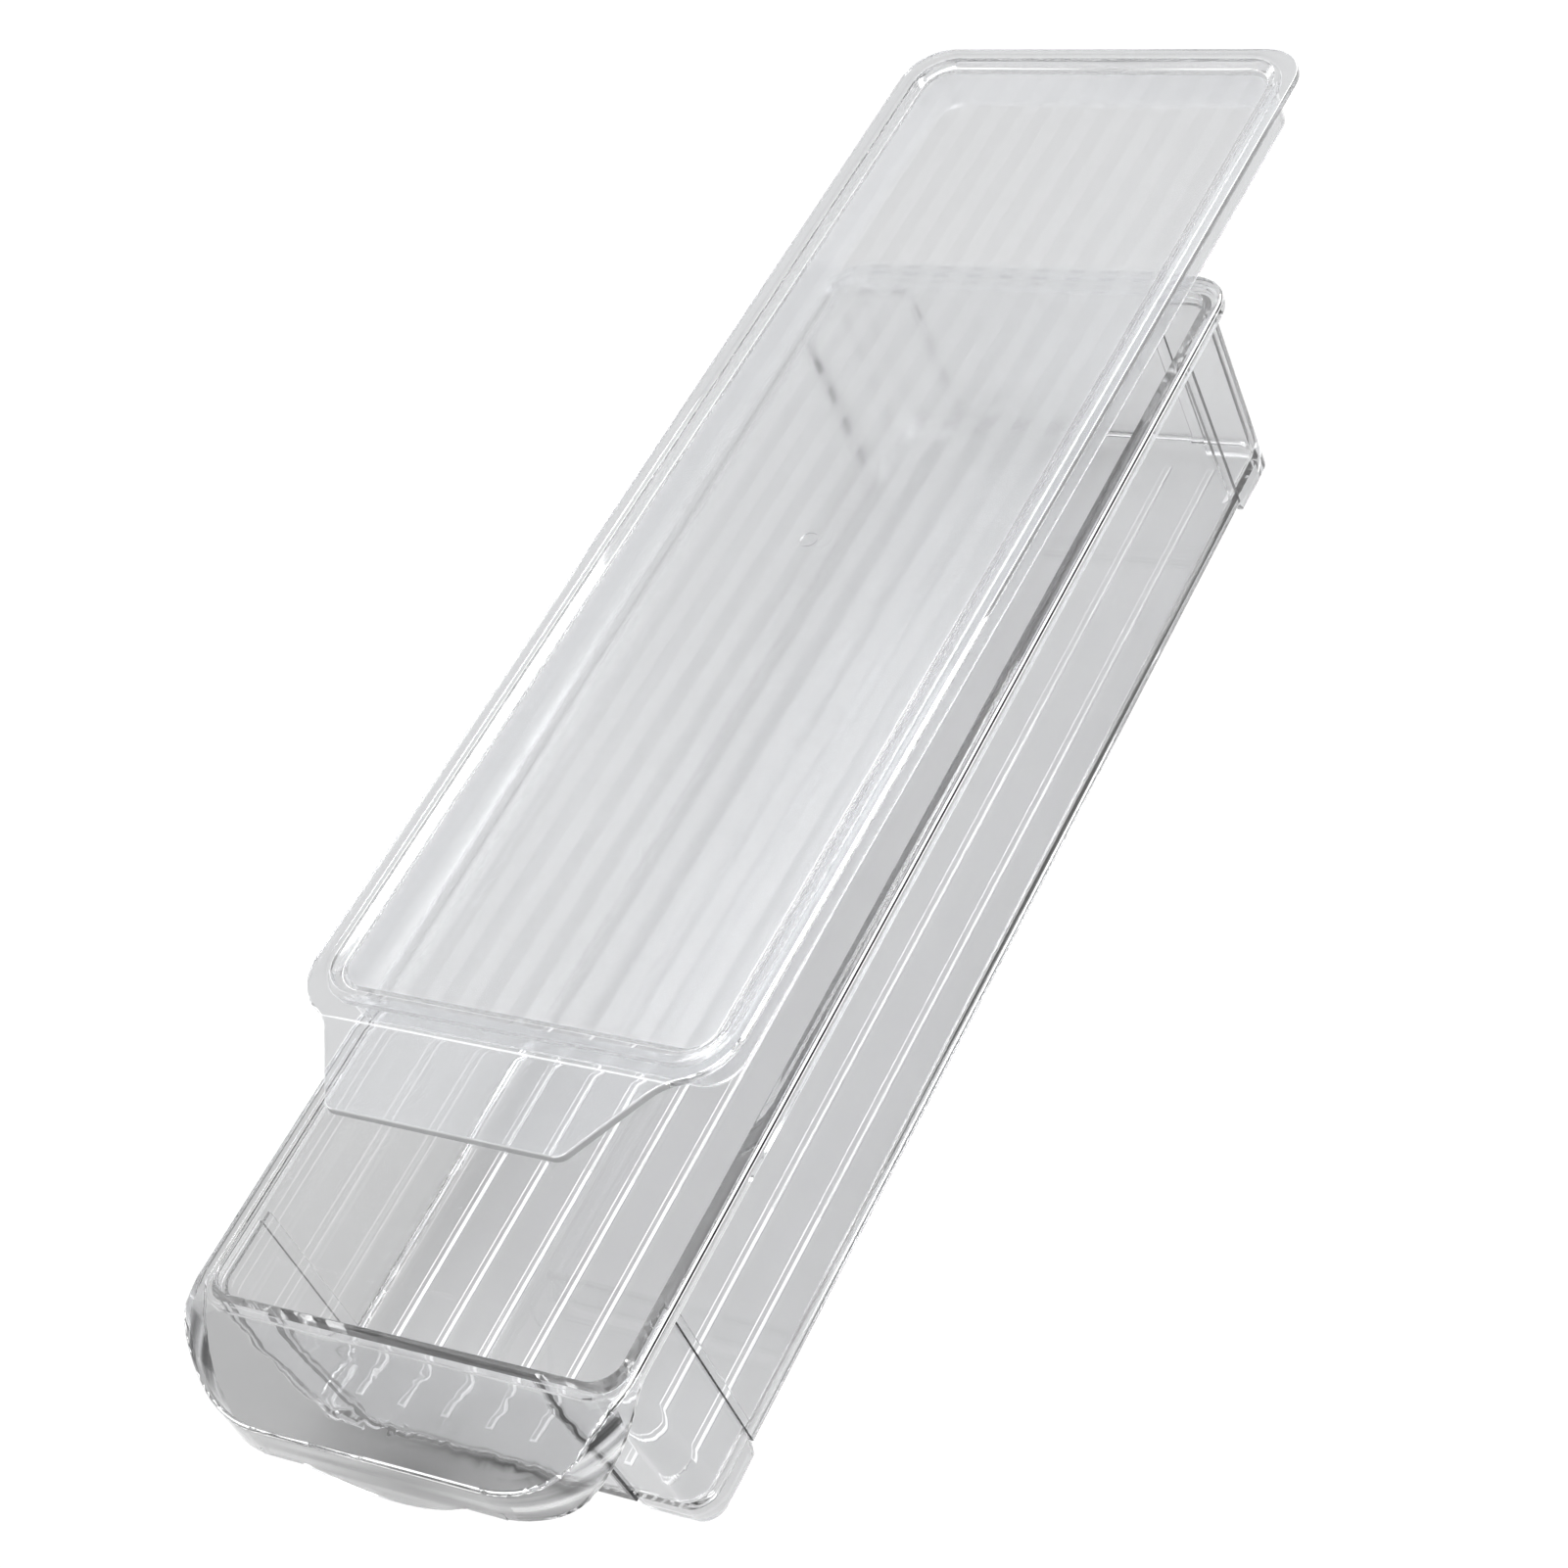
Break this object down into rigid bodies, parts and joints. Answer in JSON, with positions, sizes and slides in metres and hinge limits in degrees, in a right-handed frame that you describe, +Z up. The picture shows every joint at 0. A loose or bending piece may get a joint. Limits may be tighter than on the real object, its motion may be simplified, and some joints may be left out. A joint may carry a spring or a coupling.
{
  "type": "storage bin",
  "caption": "Long narrow clear storage bin on corner feet, with a curved pull handle at its front and a loose lift-off lid that has a pull tab and a sunk panel.",
  "frame": {"origin": "middle of the whole part's footprint, on the surface that the feet stand on, with the lid where the picture shows it", "axes": "+Z up, -Y towards the pull handle, +X to the right as seen from the handle"},
  "size_m": [0.132, 0.4516, 0.0745],
  "materials": {
    "clear_body": "clear, polished, moulded in one piece",
    "clear_lid": "clear and polished, with frosted stripes along the sunk panel"
  },
  "bodies": {
    "bin": {"bin": "clear_body"},
    "lid": {"lid": "clear_lid"}
  },
  "joints": [
    {"name": "lid_lift", "type": "slide", "parent": "bin", "child": "lid", "axis": [0, 0, 1], "range_m": [0, 0.08]}
  ]
}
